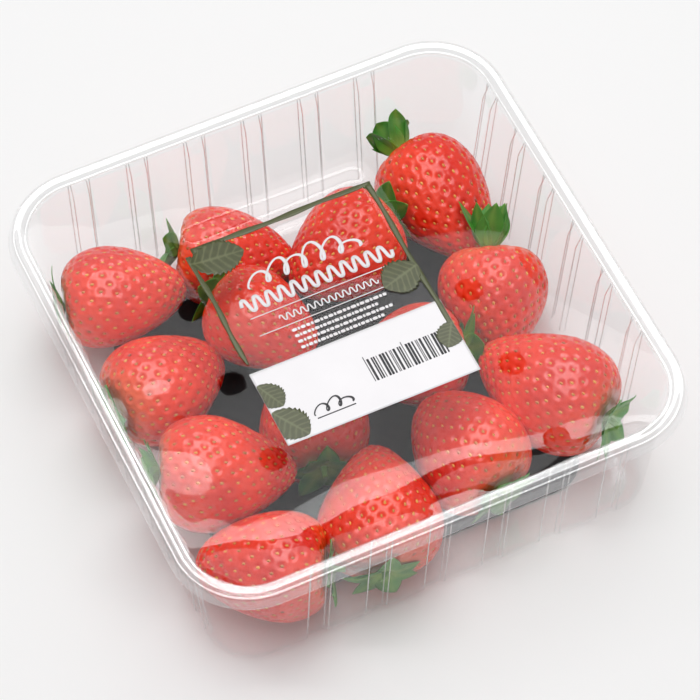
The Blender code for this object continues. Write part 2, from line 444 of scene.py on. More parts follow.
def print_material(name, colour, opacity, grain, thin, veined):
    """Printed ink, which thins in spots to a share of its colour. Veined ink is lighter along veins."""
    material, tree, shader = new_material(name, {"Alpha": opacity, "Roughness": 0.28})
    cloud = between(tree, noise(tree, grain, 4.0), 0.3, 0.7)
    ink = blend_colours(tree, cloud, colour, scaled(colour, thin))
    if veined:
        pale = tuple(0.03 + 1.6 * part for part in colour)
        ink = blend_colours(tree, attribute(tree, "vein"), ink, pale)
    tree.links.new(ink, shader.inputs["Base Color"])
    return material


def floor_material():
    """A plain white studio floor that looks white to the camera and keeps the shadow."""
    material, tree, shader = new_material("studio_floor", {"Roughness": 0.9, "Specular IOR Level": 0.1})
    colour = blend_colours(tree, noise(tree, 3.0, 1.0), (0.90, 0.90, 0.90), (0.89, 0.89, 0.89))
    tree.links.new(colour, shader.inputs["Base Color"])
    return material


# ---------------------------------------------------------------- tray


def smooth_step(value):
    """0 below 0, 1 above 1, and a soft rise between."""
    share = np.clip(value, 0, 1)
    return share * share * (3 - 2 * share)


def straight_profile(part):
    """How far a rib pushes in along one straight side, part 0 to 1: flat panels, narrow ribs, soft edges."""
    place = (part * RIBS_PER_SIDE) % 1.0
    rise = np.clip((place - RIB_START) / RIB_EDGE, 0, 1)
    fall = np.clip((RIB_END - place) / RIB_EDGE, 0, 1)
    return smooth_step(np.minimum(rise, fall))


def rounded_square(half, corner, push, straight_steps, corner_steps):
    """Points of a square of half size with round corners, anticlockwise, arrays over any leading shape.

    Each quarter is one straight side followed by one arc. push moves the straight parts inwards by the
    rib profile.
    """
    columns = (np.asarray(value, float)[..., None] for value in (half, corner, push))
    half, corner, push = np.broadcast_arrays(*columns)
    part = np.arange(straight_steps) / straight_steps
    side_x = half - push * straight_profile(part)
    side_y = -(half - corner) + 2 * (half - corner) * part
    angle = math.radians(90) * np.arange(corner_steps) / corner_steps
    arc_x = (half - corner) + corner * np.cos(angle)
    arc_y = (half - corner) + corner * np.sin(angle)
    x = np.concatenate([side_x, arc_x], axis=-1)
    y = np.concatenate([side_y, arc_y], axis=-1)
    return np.concatenate([x, -y, -x, y], axis=-1), np.concatenate([y, x, -y, -x], axis=-1)


def wall_profile():
    """Inset, height and rib depth from the floor's middle, round the fillet and up to the flange's bend."""
    run = math.tan(WALL_DRAFT)
    foot = WALL_INSET + run * (WALL_TOP - TRAY_SKIN - BASE_FILLET)
    angle = np.linspace(0, math.radians(90), 10)
    fillet_inset = foot + BASE_FILLET * (1 - np.sin(angle))
    fillet_height = TRAY_SKIN + BASE_FILLET * (1 - np.cos(angle))
    fillet_rib = RIB_DEPTH * np.sin(angle) ** 2
    height = np.linspace(TRAY_SKIN + BASE_FILLET, WALL_TOP, 26)[1:]
    inset = WALL_INSET + run * (WALL_TOP - height)
    rib = RIB_DEPTH * smooth_step((WALL_TOP - height) / RIB_FADE)
    return (
        np.concatenate([fillet_inset, inset]),
        np.concatenate([fillet_height, height]),
        np.concatenate([fillet_rib, rib]),
    )


def flange_profile():
    """Inset and height from the wall's top over the flange and down the flared lip, with round bends."""
    angle = np.linspace(0, math.radians(90), 6)
    bend_inset = WALL_INSET - FLANGE_BEND * (1 - np.cos(angle))
    bend_height = WALL_TOP + FLANGE_BEND * np.sin(angle)
    groove = np.linspace(0, 1, 9)[1:]
    flat_inset = WALL_INSET - FLANGE_BEND - (FLANGE_WIDTH - LIP_BEND) * groove
    flat_height = TRAY_TOP - FLANGE_GROOVE * np.sin(math.pi * groove) ** 2
    edge_inset = LIP_FLARE + LIP_BEND - LIP_BEND * np.sin(angle)[1:]
    edge_height = TRAY_TOP - LIP_BEND * (1 - np.cos(angle))[1:]
    lip = np.linspace(0, 1, 6)[1:]
    lip_inset = LIP_FLARE * (1 - lip)
    lip_height = TRAY_TOP - LIP_BEND - (LIP_HEIGHT - LIP_BEND) * lip
    return (
        np.concatenate([bend_inset, flat_inset, edge_inset, lip_inset]),
        np.concatenate([bend_height, flat_height, edge_height, lip_height]),
    )


def lofted_square(inset, height, rib, straight_steps, corner_steps):
    """The rounded square carried along a profile of insets and heights, and how many points a ring has."""
    x, y = rounded_square(TRAY_HALF - inset, TRAY_CORNER - inset, rib, straight_steps, corner_steps)
    z = np.broadcast_to(height[:, None], x.shape)
    return np.stack([x, y, z], axis=-1).reshape(-1, 3), x.shape[1]


def floor_rings(first_ring, rings):
    """Rings from the floor's middle out to the first ring, the middle one point, raised a little inside."""
    share = (np.arange(rings) + 1) / (rings + 1)
    ring = first_ring[None] * share[:, None, None]
    lift = FLOOR_RISE * np.clip((0.86 - share) / 0.05, 0, 1)
    ring[..., 2] = TRAY_SKIN + lift[:, None]
    middle = np.array([[0.0, 0.0, TRAY_SKIN + FLOOR_RISE]])
    return np.vstack([middle, ring.reshape(-1, 3)])


def bead_lines(lines, radius, sides=6):
    """Thin round beads along several lines at once: lines is an array of lines, points and coordinates.

    Each ring stands square to its line's own step; its two sides come from crosses with the upright
    and with the step.
    """
    step = np.gradient(lines, axis=1)
    step /= np.linalg.norm(step, axis=2, keepdims=True)
    guide = np.where(np.abs(step[..., 2:]) > 0.7, [0.31, 0.95, 0.0], [0.0, 0.0, 1.0])
    first = np.cross(step, guide)
    first /= np.linalg.norm(first, axis=2, keepdims=True)
    second = np.cross(step, first)
    angle = (math.tau * np.arange(sides) / sides)[:, None]
    ring = np.cos(angle) * first[:, :, None] + np.sin(angle) * second[:, :, None]
    tubes = lines[:, :, None] + radius * ring
    faces = tube_faces(lines.shape[1], sides)
    return [(closed_tube(tube), *faces, {}) for tube in tubes]


def quarter_turns(line):
    """A line and its copies turned by a quarter, a half and three quarters about the upright."""
    x, y, z = line.T
    return [np.stack([*turned, z], axis=-1) for turned in ((x, y), (-y, x), (-x, -y), (y, -x))]


def crease_lines():
    """The folds at both edges of every rib, from the fillet to the flange, as lines just outside the wall."""
    inset, height, rib = (values[8:] for values in wall_profile())
    lines = []
    for number in range(RIBS_PER_SIDE):
        for edge, push in ((RIB_START + 0.2 * RIB_EDGE, 0.0), (RIB_START + 1.1 * RIB_EDGE, 1.0),
                           (RIB_END - 1.1 * RIB_EDGE, 1.0), (RIB_END - 0.2 * RIB_EDGE, 0.0)):
            part = (number + edge) / RIBS_PER_SIDE
            half = TRAY_HALF - inset
            straight = half - (TRAY_CORNER - inset)
            line = np.stack([half - push * rib + 0.05, -straight + 2 * straight * part, height], axis=-1)
            lines += quarter_turns(line)
    return np.array(lines)


class PUNNET_OT_tray(bpy.types.Operator):
    """Make the clear tray's walls and floor, and its flange with the turned-down lip."""

    bl_idname = "punnet.make_tray"
    bl_label = "Make the tray"

    def execute(self, context):
        colours = context.scene.punnet_colours
        inset, height, rib = wall_profile()
        wall, ring = lofted_square(inset, height, rib, 120, 24)
        rings = 24
        quads = grid_quads(rings + len(inset), ring, wrapped=True) + 1
        first = np.arange(ring) + 1
        fan = np.stack([np.zeros(ring, int), first, np.roll(first, -1)], axis=-1)
        points = np.vstack([floor_rings(wall[:ring], rings), wall])
        walls = put_mesh("tray_walls", points, quads[:, ::-1], fan)
        thicken(walls, TRAY_SHEET)
        finish_piece(walls, clear_material("tray_clear", colours, 0.09, 0.55, 0.08, 0.08), "tray", "tray")
        inset, height = flange_profile()
        band, ring = lofted_square(inset, height, np.zeros_like(inset), 60, 24)
        flange = put_mesh("tray_flange", band, grid_quads(len(inset), ring, wrapped=True)[:, ::-1])
        thicken(flange, TRAY_SHEET)
        finish_piece(flange, clear_material("flange_clear", colours, 0.17, 0.60, 0.06, 0.10), "tray")
        creases = put_mesh("tray_creases", *join_parts(bead_lines(crease_lines(), CREASE_RADIUS)))
        finish_piece(creases, clear_material("crease_clear", colours, 0.42, 0.8, 0.15, 0.0), "tray")
        return {"FINISHED"}


class PUNNET_OT_pad(bpy.types.Operator):
    """Make the dark pad on the tray's floor, a black sheet that is painted shade for the gaps between the
    berries, its top dimpled in rows.
    """

    bl_idname = "punnet.make_pad"
    bl_label = "Make the pad"

    def execute(self, context):
        colours = context.scene.punnet_colours
        x, y = film_grid(PAD_BOX[1, 0], PAD_CORNER, 150, 14, 120)
        dimples = np.sin(math.tau * x / DIMPLE_PITCH) * np.sin(math.tau * y / DIMPLE_PITCH)
        top = PAD_BOX[1, 2] - DIMPLE_DEPTH + DIMPLE_DEPTH * dimples
        # painted shade: this black sheet darkens the gaps between the berries
        pad = put_mesh("shade_pad_sheet", np.stack([x, y, top], axis=-1).reshape(-1, 3), grid_quads(*x.shape))
        thicken(pad, PAD_BOX[1, 2] - PAD_BOX[0, 2] - 0.2)
        finish_piece(pad, shade_pad_material(colours), "pad", "pad")
        return {"FINISHED"}


# ---------------------------------------------------------------- film and label


def film_height(x, y, sizes):
    """The taut film's height: a low dome that bends down to the seal, with slack waves and a dent.

    The distance to the seal is that to a rounded square. The waves run along the edges and fade inwards,
    and the stiffer label makes the film fall away towards the label's back edge.
    """
    half = TRAY_HALF - LIP_FLARE - FLANGE_WIDTH + 0.5
    corner = TRAY_CORNER - FLANGE_WIDTH
    across = np.maximum(np.abs(x) - (half - corner), 0)
    deep = np.maximum(np.abs(y) - (half - corner), 0)
    flat = np.minimum(np.maximum(np.abs(x) - (half - corner), np.abs(y) - (half - corner)), 0)
    inside = corner - (np.hypot(across, deep) + flat)
    share = np.clip(inside / sizes.film_edge, 0, 1)
    rise = sizes.film_rise * np.sin(0.5 * math.pi * share) - FILM_DROP
    near = np.exp(-np.clip(inside, 0, None) / 22.0) * np.clip(inside / 5.0, 0, 1)
    waves = WAVE_HEIGHT * near * (np.sin(0.16 * x - 0.05 * y + 0.6) + np.sin(0.13 * y + 0.07 * x + 2.0))
    slack = SLACK_HEIGHT * np.sin(0.045 * x + 0.06 * y) * share
    from_dent = [(value - place) / spread for value, place, spread in zip((x, y), DENT_PLACE, DENT_SPREAD)]
    dent = -DENT_DEPTH * np.exp(-(from_dent[0] ** 2 + from_dent[1] ** 2))
    middle_x = LABEL_BOX[:, 0].mean()
    side = smooth_step((LABEL_BOX[1, 0] + 3 - np.abs(x - middle_x) - middle_x) / 8)
    climb = np.clip((y - 2) / (LABEL_BOX[1, 1] - 2), 0, 1)
    tilt = -LABEL_DROP * side * climb**1.3 * smooth_step((LABEL_BOX[1, 1] + 9 - y) / 9)
    return FILM_BOX[0, 2] + rise + waves + slack + dent + tilt


def film_grid(half, corner, columns, corner_rows, straight_rows):
    """A rounded square filled by a grid: rows of constant y, each stretched across to the outline.

    Rows lie even between the corners and closer towards the ends, by the cosine of the corner's arc.
    """
    arc = math.radians(90) * np.arange(corner_rows) / corner_rows
    low = -(half - corner) - corner * np.cos(arc)
    middle = np.linspace(-(half - corner), half - corner, straight_rows + 1)
    rows = np.concatenate([low, middle, -low[::-1]])
    over = np.clip(np.abs(rows) - (half - corner), 0, corner)
    reach = (half - corner) + np.sqrt(np.maximum(corner**2 - over**2, 0))
    span = np.linspace(-1, 1, columns)
    return span[None] * reach[:, None], np.broadcast_to(rows[:, None], (len(rows), columns)).copy()


def cut_vents(x, y, block, rings):
    """Cut the vent holes out of a grid. Returns the points in use and the quads.

    Each block round a vent gives way to rings that turn from the block's outline to the hole's circle.
    """
    rows, columns = x.shape
    keep = np.ones((rows - 1, columns - 1), bool)
    index = np.arange(rows * columns).reshape(rows, columns)
    points = [np.column_stack([x.ravel(), y.ravel()])]
    faces = []
    count = rows * columns
    for column in VENT_COLUMNS:
        for row in range(VENT_ROWS):
            centre = np.array([column, -TRAY_HALF + VENT_FRONT + row * VENT_PITCH])
            near = np.argmin(np.hypot(x - centre[0], y - centre[1]))
            mid_row, mid_column = np.unravel_index(near, x.shape)
            low, high = np.flatnonzero(np.abs(y[:, mid_column] - centre[1]) < block)[[0, -1]]
            left, right = np.flatnonzero(np.abs(x[mid_row] - centre[0]) < block)[[0, -1]]
            keep[low:high, left:right] = False
            loop = np.concatenate([
                index[low, left:right], index[low:high, right],
                index[high, right:left:-1], index[high:low:-1, left],
            ])
            outline = points[0][loop]
            away = outline - centre
            circle = centre + VENT_RADIUS * away / np.linalg.norm(away, axis=1)[:, None]
            share = ((np.arange(rings) + 1) / rings)[:, None, None]
            ring = (1 - share) * outline[None] + share * circle[None]
            points.append(ring.reshape(-1, 2))
            number = len(loop)
            table = np.vstack([loop[None], count + np.arange(rings * number).reshape(rings, number)])
            table = np.hstack([table, table[:, :1]])
            corners = (table[:-1, :-1], table[:-1, 1:], table[1:, 1:], table[1:, :-1])
            faces.append(np.stack(corners, axis=-1).reshape(-1, 4))
            count += rings * number
    grid = grid_quads(rows, columns).reshape(rows - 1, columns - 1, 4)[keep]
    used, quads = np.unique(np.vstack([grid] + faces), return_inverse=True)
    return np.vstack(points)[used], quads.reshape(-1, 4)


class PUNNET_OT_film(bpy.types.Operator):
    """Make the clear film lid with its vent holes, taut over the tray."""

    bl_idname = "punnet.make_film"
    bl_label = "Make the film lid"

    def execute(self, context):
        sizes, colours = context.scene.punnet_sizes, context.scene.punnet_colours
        x, y = film_grid(FILM_BOX[1, 0], TRAY_CORNER - LIP_FLARE - 0.8, 151, 16, 110)
        flat, quads = cut_vents(x, y, VENT_BLOCK, 5)
        height = film_height(flat[:, 0], flat[:, 1], sizes)
        film = put_mesh("film_lid_sheet", np.column_stack([flat, height]), quads)
        thicken(film, sizes.film_skin)
        material = clear_material("film_clear", colours, 0.0135, 1.0, 0.02, 0.0)
        finish_piece(film, material, "film_lid", "film_lid")
        return {"FINISHED"}


def label_part(x, y, sizes, lift, values=None):
    """A grid of places on the label, counted from its corner, as a part of a mesh lifted off the film."""
    x, y = LABEL_BOX[0, 0] + x, LABEL_BOX[0, 1] + y
    height = film_height(x, y, sizes) + lift + sizes.label_lift
    points = np.stack([x, y, height], axis=-1).reshape(-1, 3)
    return points, grid_quads(*x.shape), NO_TRIANGLES, values or {}


def trimmed(x, y):
    """Places on the label held a tenth of a millimetre inside its edges."""
    width, length = (LABEL_BOX[1] - LABEL_BOX[0])[:2]
    return np.clip(x, 0.1, width - 0.1), np.clip(y, 0.1, length - 0.1)


def label_field(left, bottom, width, length, sizes, lift):
    """A rectangle of the label as a grid of about a millimetre."""
    rows = max(2, int(round(length)) + 1)
    columns = max(2, int(round(width)) + 1)
    x, y = np.meshgrid(left + np.linspace(0, width, columns), bottom + np.linspace(0, length, rows))
    return label_part(x, y, sizes, lift)


def label_block(left, bottom, width, length, sizes, lift):
    """A printed block with round corners and bulging sides, from a square drawn in at its corners."""
    u, v = np.meshgrid(np.linspace(-1, 1, 7), np.linspace(-1, 1, 7))
    x = left + 0.5 * width * (1 + u * np.sqrt(1 - 0.30 * v**2))
    y = bottom + 0.5 * length * (1 + v * np.sqrt(1 - 0.30 * u**2))
    return label_part(x, y, sizes, lift)


def label_blocks(left, bottom, width, length, count, sizes, lift):
    """A row of printed blocks of uneven widths, as a plain stand-in for a line of type."""
    share = 1 + 0.35 * np.sin(2.4 * np.arange(count) + count)
    edges = np.concatenate([[0], np.cumsum(share)]) * width / share.sum()
    gap = 0.16 * width / count
    return [
        label_block(left + edges[k], bottom, edges[k + 1] - edges[k] - gap, length, sizes, lift)
        for k in range(count)
    ]


def label_ribbon(x, rise, bottom, half, sizes, lift):
    """A printed stroke of a given half width along a drawn line, lifted a hair along its run."""
    step_x, step_y = np.gradient(x), np.gradient(rise)
    across = (half / np.hypot(step_x, step_y))[:, None] * np.array([-1.0, 1.0])[None]
    climb = 0.08 * np.linspace(0, 1, len(x))[:, None]
    x, y = x[:, None] - step_y[:, None] * across, bottom + rise[:, None] + step_x[:, None] * across
    return label_part(x, y, sizes, lift + climb)


def label_wave(left, bottom, width, height, count, stroke, sizes, lift):
    """A printed even wave with rather straight flanks, as a plain stand-in for a line of bold type."""
    t = np.linspace(0, 1, 24 * count)
    swing = np.sin(math.tau * count * t)
    rise = 0.5 * height * (1 + np.tanh(1.6 * swing) / math.tanh(1.6))
    return label_ribbon(left + width * t, rise, bottom, 0.5 * stroke + 0 * t, sizes, lift)


def label_scrawl(left, bottom, width, height, loops, stroke, sizes, lift):
    """A printed flourish: a row of slanted pen loops with a stroke that is wider on its way down."""
    t = np.linspace(0, 1, 28 * loops)
    turn = math.tau * loops * t
    fade = np.sin(math.pi * t) ** 0.4
    rise = 0.5 * height * (1 - np.cos(turn)) * (0.65 + 0.35 * np.sin(2.1 * turn / math.tau + 1) ** 2) * fade
    x = left + width * t - 0.20 * width / loops * np.sin(turn) * 1.5 + 0.30 * rise
    step_x, step_y = np.gradient(x), np.gradient(rise)
    half = 0.5 * stroke * (0.55 + 0.45 * np.clip(-step_y / np.hypot(step_x, step_y), 0, 1))
    return label_ribbon(x, rise, bottom, half, sizes, lift)


def label_leaf(root_x, root_y, heading, length, width, sizes, lift):
    """A printed leaf: pointed at both ends, with teeth along its edge that grow from its middle vein."""
    u = np.linspace(0, 1, 61)[:, None]
    v = np.linspace(-1, 1, 17)[None]
    teeth = 1 + 0.10 * (1 - 2 * ((u * 11) % 1.0))
    half = 0.5 * width * np.sin(math.pi * u**0.85) ** 0.75 * teeth
    along = length * u + 0.10 * width * np.abs(v) * np.sin(math.pi * u)
    across = half * v
    turn = math.radians(heading)
    x = root_x + along * math.cos(turn) - across * math.sin(turn)
    y = root_y + along * math.sin(turn) + across * math.cos(turn)
    middle = np.exp(-((v * half / 0.25) ** 2)) + 0 * u
    side = (u * 7 - 0.9 * np.abs(v)) % 1.0
    vein = np.clip(middle + 0.8 * np.exp(-(((side - 0.5) / 0.13) ** 2)) * (np.abs(v) < 0.95), 0, 1)
    return label_part(*trimmed(x, y), sizes, lift, {"vein": np.clip(vein * (1.1 - 0.4 * u), 0, 1).ravel()})


def label_stem(ends, width, sizes, lift):
    """A printed twig between two places, slightly wavy and uneven in width."""
    start, end = np.array(ends[0], float), np.array(ends[1], float)
    length = np.linalg.norm(end - start)
    along = (end - start) / length
    side = np.array([-along[1], along[0]])
    u = np.linspace(0, 1, 41)[:, None]
    v = np.linspace(-1, 1, 4)[None]
    sway = 0.25 * np.sin(9.0 * u + start.sum())
    half = 0.5 * width * (0.85 + 0.15 * np.sin(23 * u + 1.0)) * np.clip(9 * (1.05 - u), 0.4, 1)
    across = sway + half * v
    x = start[0] + along[0] * length * u + side[0] * across
    y = start[1] + along[1] * length * u + side[1] * across
    return label_part(*trimmed(x, y), sizes, lift, {"vein": np.full(x.size, 0.35)})


class PUNNET_OT_label(bpy.types.Operator):
    """Make the clear label on the film, with its plain printed fields, rules, sprigs and bars."""

    bl_idname = "punnet.make_label"
    bl_label = "Make the label"

    def execute(self, context):
        sizes, colours = context.scene.punnet_sizes, context.scene.punnet_colours
        width, length = (LABEL_BOX[1] - LABEL_BOX[0])[:2]
        sheet = put_mesh("label_sheet", *label_field(0, 0, width, length, sizes, SHEET_LIFT))
        thicken(sheet, SHEET_SKIN)
        finish_piece(sheet, clear_material("label_clear", colours, 0.006, 1.0, 0.05, 0.0), "label", "label")
        white = [
            label_field(0, 0, width, 29, sizes, WHITE_LIFT),
            label_field(9, 47.5, 52, 0.35, sizes, WHITE_LIFT),
            label_field(9, 40.5, 52, 0.35, sizes, WHITE_LIFT),
            label_scrawl(14, 58.5, 38, 9.0, 6, 1.3, sizes, WHITE_LIFT),
            label_wave(8.5, 50.2, 52, 5.0, 12, 1.25, sizes, WHITE_LIFT),
            label_wave(17.5, 42.8, 34, 2.2, 14, 0.5, sizes, WHITE_LIFT),
        ]
        for line in range(4):
            white += label_blocks(19, 37.6 - 2.3 * line, 33 - 4 * (line % 2), 1.15, 21, sizes, WHITE_LIFT)
        green = [
            label_stem(((3, length - 1.4), (width, length - 1.1)), 2.4, sizes, DARK_LIFT),
            label_stem(((1.3, length - 3), (1.2, 0.40 * length)), 2.0, sizes, DARK_LIFT),
            label_stem(((width - 1.3, length - 1), (width - 1.1, 12)), 2.0, sizes, DARK_LIFT),
            label_leaf(0.5, length - 6, -6, 18, 13.5, sizes, LEAF_LIFT),
            label_leaf(width - 0.5, 44, 196, 14, 13, sizes, LEAF_LIFT),
            label_leaf(0.5, 13, -58, 14, 11.5, sizes, LEAF_LIFT),
            label_leaf(0.5, 24, -66, 11, 9, sizes, UPPER_LEAF_LIFT),
            label_leaf(width - 0.3, 20, 238, 10, 8.5, sizes, LEAF_LIFT),
        ]
        bars = []
        place = 0.0
        for bar in range(26):
            thick = 0.25 * (1 + (bar * 5 + bar // 3) % 3)
            bars.append(label_field(34.5 + place, 10, thick, 8.5 if bar % 13 else 9.8, sizes, DARK_LIFT))
            place += thick + 0.25 * (1 + (bar * 7 + 1) % 3)
        bars.append(label_scrawl(12.5, 6.5, 12.5, 4.5, 3, 0.75, sizes, DARK_LIFT))
        bars.append(label_field(12.5, 5.0, 13, 0.4, sizes, DARK_LIFT))
        fields = (
            ("label_white_print", white, (colours.print_white, 0.97, 60.0, 0.96, False)),
            ("label_green_print", green, (colours.print_green, 0.96, 500.0, 0.72, True)),
            ("label_bar_print", bars, (colours.print_dark, 0.98, 60.0, 0.96, False)),
        )
        for name, parts, ink in fields:
            item = put_mesh(name, *join_parts(parts))
            thicken(item, PRINT_SKIN)
            finish_piece(item, print_material(name, *ink), "label")
        return {"FINISHED"}


# ---------------------------------------------------------------- berries


def held(distance, room, soft=2.0):
    """A distance kept under a limit: past the last soft millimetres it nears the limit ever more slowly."""
    past = np.maximum(distance - (room - soft), 0)
    return np.minimum(distance, room - soft) + soft * (1 - np.exp(-past / soft))


def inside_tray(points):
    """Points pressed back inside the tray's walls, corners, floor and film, without folding over."""
    x, y, z = points.T
    slope = math.tan(WALL_DRAFT) * np.clip(WALL_TOP - z, 0, WALL_TOP)
    inset = WALL_INSET + TRAY_SKIN + RIB_DEPTH + slope
    half = TRAY_HALF - inset
    corner = TRAY_CORNER - inset
    wide = held(np.abs(x), half)
    deep = held(np.abs(y), half)
    past_x = np.maximum(wide - (half - corner), 0)
    past_y = np.maximum(deep - (half - corner), 0)
    reach = np.maximum(np.hypot(past_x, past_y), 1e-6)
    pull = held(reach, corner) / reach
    wide = np.where(past_x > 0, half - corner + past_x * pull, wide)
    deep = np.where(past_y > 0, half - corner + past_y * pull, deep)
    floor = TRAY_SKIN + FLOOR_GAP
    low = floor + 30 - held(floor + 30 - z, 30, 0.8)
    high = held(low, FILM_BOX[0, 2] - 0.1, 1.5)
    return np.stack([np.copysign(wide, x), np.copysign(deep, y), high], axis=-1)


def berry_place(berry):
    """A berry's turn, as a 3 by 3 array, and its middle: tip along the heading, dipped, at its lift."""
    x, y, lift, length, width, heading, dip = berry
    tilt, turn = math.radians(dip), math.radians(heading)
    down = np.array([[math.cos(tilt), 0, math.sin(tilt)], [0, 1, 0], [-math.sin(tilt), 0, math.cos(tilt)]])
    round_ = np.array([[math.cos(turn), -math.sin(turn), 0], [math.sin(turn), math.cos(turn), 0], [0, 0, 1]])
    rest = math.hypot(0.5 * width * math.cos(tilt), DIP_REACH * 0.5 * length * math.sin(tilt))
    return round_ @ down, np.array([x, y, TRAY_SKIN + FLOOR_GAP + lift + rest])


def placed(berry, part):
    """A part of a berry, its points first, turned and moved to the berry's place within the tray."""
    turn, middle = berry_place(berry)
    return inside_tray(part[0] @ turn.T + middle), *part[1:]


def berry_surface(polar, round_angle, berry, habit):
    """A berry's smooth surface, tip along +X: an ellipsoid that narrows to the tip.

    The shoulder is drawn in round the sepals, and low waves round and along it make it uneven.
    """
    length, width = berry[3], berry[4]
    polar, round_angle = np.broadcast_arrays(polar, round_angle)
    along = np.cos(polar)
    narrow = 1.0 - BERRY_TAPER * (0.5 + 0.5 * along)
    widest = 1.0 - WIDEST_PART * BERRY_TAPER
    lobes = sum(
        habit["lobe"][k] * np.cos((k + 1) * round_angle + habit["phase"][k] + habit["twist"][k] * along)
        for k in range(4)
    )
    sharp = 1.0 - 0.26 * habit["point"] * np.clip((along + 0.15) / 1.15, 0, 1) ** 1.4
    swell = (1.0 + np.sin(polar) ** 2 * lobes) * sharp
    radius = 0.5 * width * narrow / widest * np.abs(np.sin(polar)) ** (1 - BERRY_FULLNESS) * swell
    dent = habit["dent"] * np.exp(-(((math.pi - polar) / 0.42) ** 2))
    x = 0.5 * length * along + dent
    bend = habit["bend"] * (along**2 - 0.3)
    return np.stack([x, radius * np.cos(round_angle) + bend, radius * np.sin(round_angle)], axis=-1)


def pole(berry, habit, polar):
    """The point of a berry's smooth surface at its tip or, past half a turn, at its crown."""
    return berry_surface(np.array([polar]), np.array([0.0]), berry, habit)


def surface_normal(polar, round_angle, berry, habit):
    """The outward direction of the berry's smooth surface, from small steps along both angles."""
    step = 1e-3
    polar = np.clip(polar, 0.02, math.pi - 0.02)
    by_polar = berry_surface(polar + step, round_angle, berry, habit) - berry_surface(
        polar - step, round_angle, berry, habit)
    by_round = berry_surface(polar, round_angle + step, berry, habit) - berry_surface(
        polar, round_angle - step, berry, habit)
    out = np.cross(by_polar, by_round)
    return out / np.maximum(np.linalg.norm(out, axis=-1, keepdims=True), 1e-12)


def berry_habit(number):
    """What makes one berry differ from the next: its lobes, bend, dent and ripeness."""
    chance = np.random.default_rng(100 + number)
    return {
        "lobe": chance.uniform(0.2, 1.0, 4) * np.array([0.03, 0.05, 0.03, 0.012]),
        "phase": chance.uniform(0, math.tau, 4),
        "twist": chance.uniform(-1.2, 1.2, 4),
        "bend": chance.uniform(-1.2, 1.2),
        "dent": chance.uniform(1.6, 3.2),
        "point": POINTS[number],
        "young": chance.uniform(0.0, 0.5),
        "pale": chance.uniform(0.4, 1.0),
    }


def seed_places(berry, habit, area, chance):
    """Polar and round angles of a berry's seeds: a golden spiral with a little scatter, off the sepals."""
    length, width = berry[3], berry[4]
    skin = math.pi * width * (0.5 * width + 0.42 * length) * 0.92
    count = int(skin / area)
    step = np.arange(count) + 0.5
    along = 1 - 2 * step / count
    polar = np.arccos(np.clip(along, -1, 1)) + chance.normal(0, 0.012, count)
    round_angle = step * GOLDEN_TURN + chance.normal(0, 0.02, count)
    keep = (polar < math.pi - 0.40) & (polar > 0.03)
    return polar[keep], round_angle[keep]


def pit_field(points, seeds, reach):
    """How near each point is to its nearest seeds: a bell of that reach, the largest over the seeds."""
    near = np.zeros(len(points))
    for start in range(0, len(points), 4000):
        block = points[start:start + 4000]
        square = ((block[:, None] - seeds[None]) ** 2).sum(-1).min(1)
        near[start:start + 4000] = np.sqrt(square)
    return np.exp(-((near / reach) ** 2)), near


class PUNNET_OT_berries(bpy.types.Operator):
    """Make each berry's pitted flesh, and the seeds in the pits."""

    bl_idname = "punnet.make_berries"
    bl_label = "Make the berries"

    def execute(self, context):
        sizes, colours = context.scene.punnet_sizes, context.scene.punnet_colours
        flesh = flesh_material(colours)
        seeds = []
        for number, berry in enumerate(BERRIES):
            habit = berry_habit(number)
            chance = np.random.default_rng(500 + number)
            polar = np.linspace(0, math.pi, sizes.along + 2)[1:-1, None]
            round_angle = (math.tau * np.arange(sizes.around) / sizes.around)[None]
            smooth = berry_surface(polar, round_angle, berry, habit).reshape(-1, 3)
            out = surface_normal(polar, round_angle, berry, habit).reshape(-1, 3)
            seed_polar, seed_round = seed_places(berry, habit, sizes.seed_area, chance)
            seed_points = berry_surface(seed_polar, seed_round, berry, habit)
            pit, near = pit_field(smooth, seed_points, sizes.pit_radius)
            cushion = sizes.rim_height * np.exp(-(((near - 1.75) / 0.55) ** 2))
            pitted = smooth + out * (cushion - sizes.pit_depth * pit)[:, None]
            ends = [pole(berry, habit, angle) for angle in (1e-4, math.pi - 1e-4)]
            shoulder = (polar / math.pi + 0 * round_angle).ravel()
            drift = 0.05 * np.sin(3 * round_angle + 0 * polar + number).ravel()
            young = np.clip((shoulder + drift - 0.80 + 0.25 * habit["young"]) / 0.16, 0, 1) * 0.85
            pale = np.clip((shoulder + 0.5 * drift - 0.905) / 0.06, 0, 1) * habit["pale"]
            values = {
                # the pit field also carries the flesh's painted shade in the pits
                "pit": np.concatenate([[0], pit, [0]]),
                "young": np.concatenate([[0], young, [1]]),
                "pale": np.concatenate([[0], pale, [1]]),
            }
            faces = tube_faces(sizes.along, sizes.around, turned=True)
            part = np.vstack([ends[0], pitted, ends[1]]), *faces, values
            item = put_mesh(f"berry_{number + 1:02d}", *placed(berry, part))
            finish_piece(item, flesh, "berries", *(("berries",) if number == 0 else ()))
            sink = sizes.pit_depth - SEED_RISE
            seeds.append(placed(berry, seed_parts(seed_polar, seed_round, berry, habit, sink, chance)))
        finish_piece(put_mesh("berry_seeds", *join_parts(seeds)), seed_material(colours), "berries")
        return {"FINISHED"}


